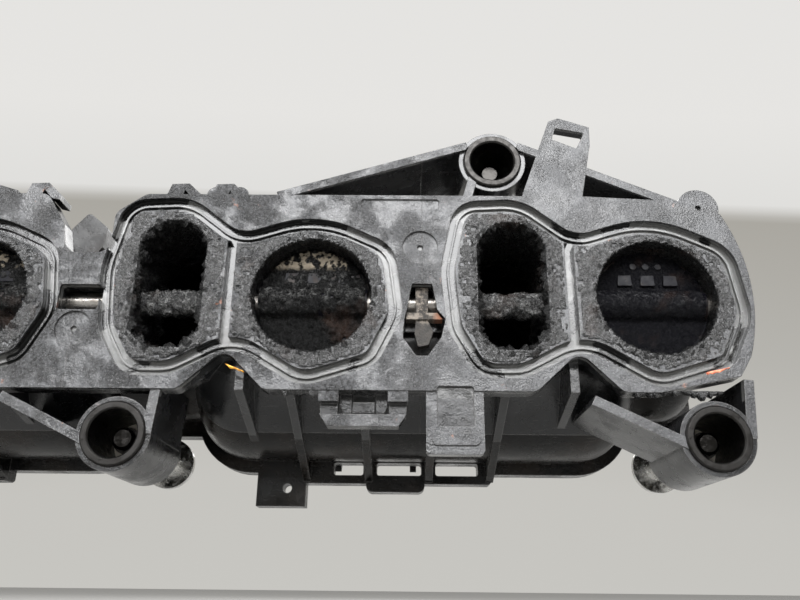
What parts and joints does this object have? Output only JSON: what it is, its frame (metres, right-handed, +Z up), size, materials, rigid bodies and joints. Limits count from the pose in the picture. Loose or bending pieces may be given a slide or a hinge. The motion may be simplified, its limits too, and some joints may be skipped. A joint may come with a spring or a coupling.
{
  "type": "intake manifold",
  "caption": "Long black plastic intake manifold: head flange with paired tall and round ports, swirl flaps on one shaft, plenum, down-facing inlet elbow and electric flap actuator.",
  "frame": {"origin": "on the cylinder-head face, midway along the row of port pairs and level with the centres of the round ports", "axes": "+X along the engine away from the flap actuator, +Y from the head face into the manifold, +Z up"},
  "size_m": [0.4068, 0.152, 0.1638],
  "materials": {
    "black_nylon": "satin moulded glass-filled nylon, sooted round the ports",
    "flap_plastic": "moulded, soot covered",
    "shaft_steel": "ground, stained",
    "zinc_steel": "zinc plated",
    "sleeve_steel": "dull rolled steel",
    "brass": "knurled",
    "seal_rubber": "matt",
    "bush_plastic": "natural acetal",
    "case_plastic": "satin moulded",
    "gear_plastic": "natural acetal",
    "pinion_brass": "hobbed",
    "motor_can": "drawn, plated",
    "sensor_plastic": "moulded"
  },
  "bodies": {
    "manifold": {"port_block_1": "black_nylon", "port_block_2": "black_nylon", "port_block_3": "black_nylon", "port_block_4": "black_nylon", "plenum_front": "black_nylon", "plenum_cover": "black_nylon", "inlet_elbow": "black_nylon", "inlet_inserts": "brass", "inlet_seal": "seal_rubber", "bolt_sleeves": "sleeve_steel", "bolt_retainers": "bush_plastic", "shaft_bushes": "bush_plastic", "shaft_seal": "seal_rubber", "shaft_clips": "flap_plastic", "actuator_case": "case_plastic", "actuator_lid": "case_plastic", "actuator_motor": "motor_can", "actuator_pins": "brass", "actuator_screws": "zinc_steel", "idler_axle": "shaft_steel", "boost_sensor": "sensor_plastic", "sensor_seal": "seal_rubber", "sensor_screw": "zinc_steel"},
    "flap_train": {"flap_shaft": "shaft_steel", "swirl_flap_1": "flap_plastic", "swirl_flap_2": "flap_plastic", "swirl_flap_3": "flap_plastic", "swirl_flap_4": "flap_plastic", "shaft_lever": "shaft_steel"},
    "link": {"link_rod": "bush_plastic"},
    "crank": {"output_crank": "shaft_steel", "output_gear": "gear_plastic"},
    "reduction": {"reduction_gear": "gear_plastic"},
    "pinion": {"motor_pinion": "pinion_brass"},
    "bolt_1": {"head_bolt_1": "zinc_steel"},
    "bolt_2": {"head_bolt_2": "zinc_steel"},
    "bolt_3": {"head_bolt_3": "zinc_steel"},
    "bolt_4": {"head_bolt_4": "zinc_steel"},
    "bolt_5": {"head_bolt_5": "zinc_steel"}
  },
  "joints": [
    {"name": "flap_turn", "type": "hinge", "parent": "manifold", "child": "flap_train", "pos_m": [0, 0.008, 0], "axis": [1, 0, 0], "range_deg": [0, 80]},
    {"name": "link_swing", "type": "hinge", "parent": "flap_train", "child": "link", "pos_m": [-0.191, 0.01828, 0.01226], "axis": [1, 0, 0], "range_deg": [-80, 0]},
    {"name": "crank_turn", "type": "hinge", "parent": "manifold", "child": "crank", "pos_m": [-0.186, 0.048, 0], "axis": [1, 0, 0], "range_deg": [0, 80]},
    {"name": "reduction_turn", "type": "hinge", "parent": "manifold", "child": "reduction", "pos_m": [-0.21, 0.05621, 0.02255], "axis": [1, 0, 0], "range_deg": [-240, 0]},
    {"name": "pinion_turn", "type": "hinge", "parent": "manifold", "child": "pinion", "pos_m": [-0.215, 0.05996, 0.04382], "axis": [1, 0, 0], "range_deg": [0, 686]},
    {"name": "bolt_slide_1", "type": "slide", "parent": "manifold", "child": "bolt_1", "axis": [0, -1, 0], "range_m": [0, 0.02]},
    {"name": "bolt_slide_2", "type": "slide", "parent": "manifold", "child": "bolt_2", "axis": [0, -1, 0], "range_m": [0, 0.02]},
    {"name": "bolt_slide_3", "type": "slide", "parent": "manifold", "child": "bolt_3", "axis": [0, -1, 0], "range_m": [0, 0.02]},
    {"name": "bolt_slide_4", "type": "slide", "parent": "manifold", "child": "bolt_4", "axis": [0, -1, 0], "range_m": [0, 0.02]},
    {"name": "bolt_slide_5", "type": "slide", "parent": "manifold", "child": "bolt_5", "axis": [0, -1, 0], "range_m": [0, 0.02]}
  ],
  "couplings": [
    {"joint": "link_swing", "follows": "flap_turn", "ratio": -1},
    {"joint": "crank_turn", "follows": "flap_turn", "ratio": 1},
    {"joint": "reduction_turn", "follows": "flap_turn", "ratio": -3},
    {"joint": "pinion_turn", "follows": "flap_turn", "ratio": 8.5714}
  ]
}
